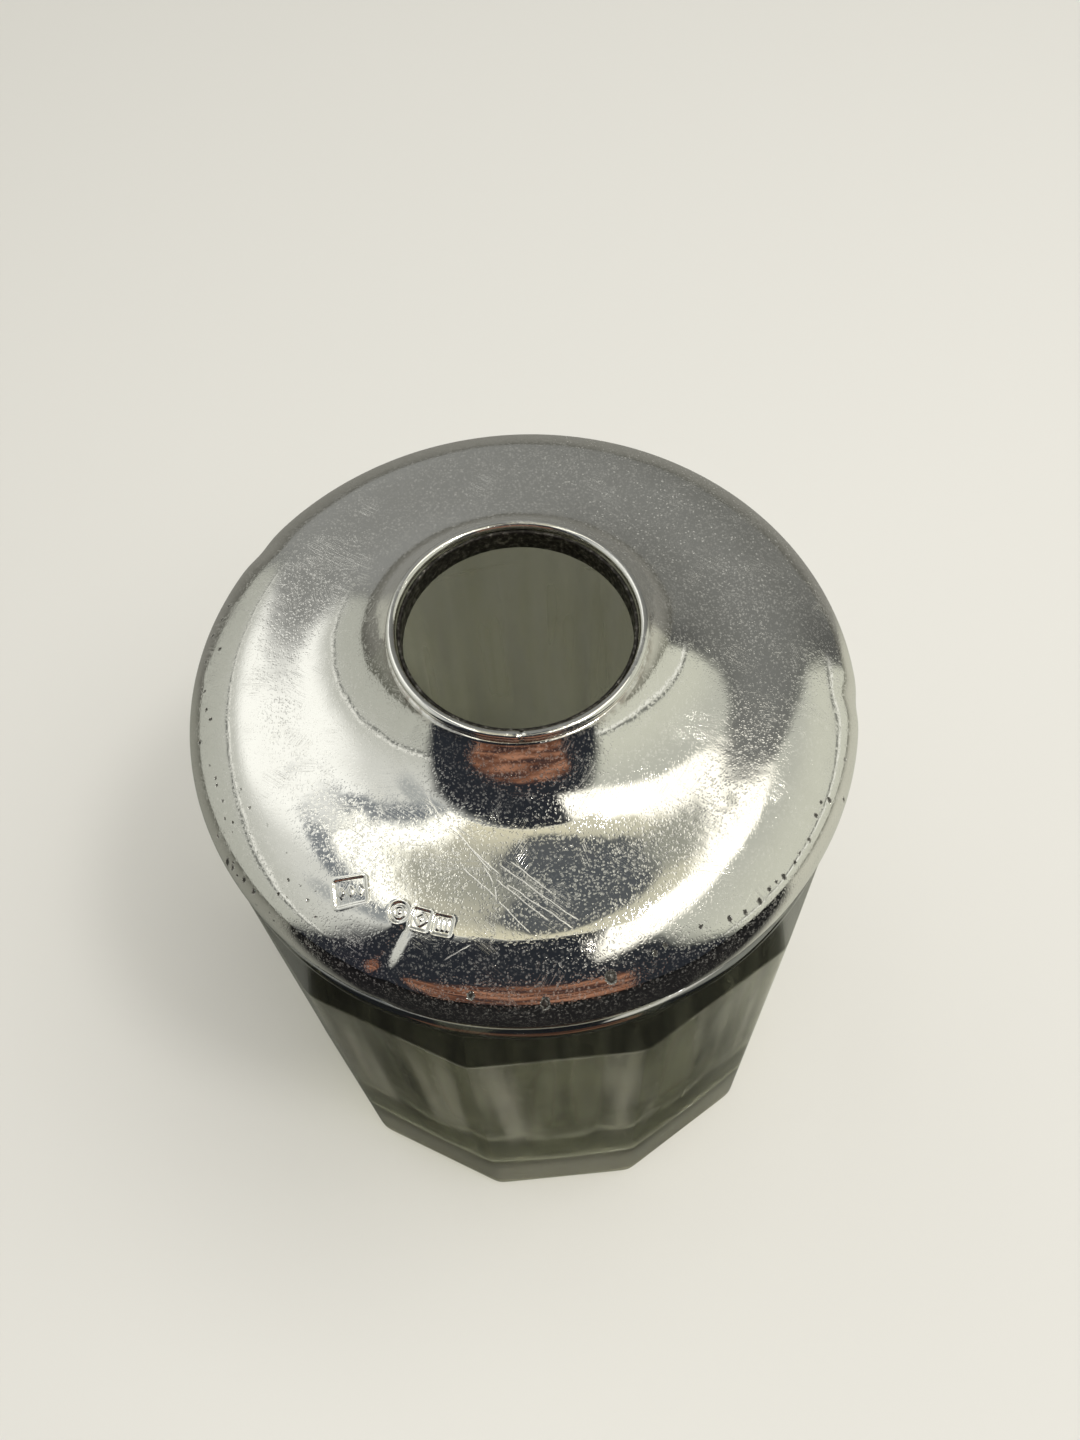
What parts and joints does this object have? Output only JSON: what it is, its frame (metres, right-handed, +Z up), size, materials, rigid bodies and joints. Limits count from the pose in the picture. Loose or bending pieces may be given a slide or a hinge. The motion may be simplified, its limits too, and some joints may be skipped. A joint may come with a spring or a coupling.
{
  "type": "lidded glass jar",
  "caption": "Dressing-table jar of panel-cut glass with a push-on silver cover and a raised round opening in the middle of the cover.",
  "frame": {"origin": "centre of the jar's underside, on the surface it stands on", "axes": "+Z up along the jar's axis; -Y is the front, where the opening wire's solder joint is"},
  "size_m": [0.086, 0.086, 0.1142],
  "materials": {
    "glass": "polished, clear with a pale yellow-green tint",
    "silver": "old polish with fine scratches and pits",
    "tarnished_silver": "dark tarnish",
    "worn_silver": "worn satin"
  },
  "bodies": {
    "jar": {"glass_jar": "glass"},
    "lid": {"lid_dome": "silver", "opening_rim_wire": "silver", "opening_sleeve": "tarnished_silver", "lid_skirt_band": "worn_silver", "skirt_foot_wire": "worn_silver"}
  },
  "joints": [
    {"name": "lid_lift", "type": "slide", "parent": "jar", "child": "lid", "axis": [0, 0, 1], "range_m": [0, 0.05]}
  ]
}
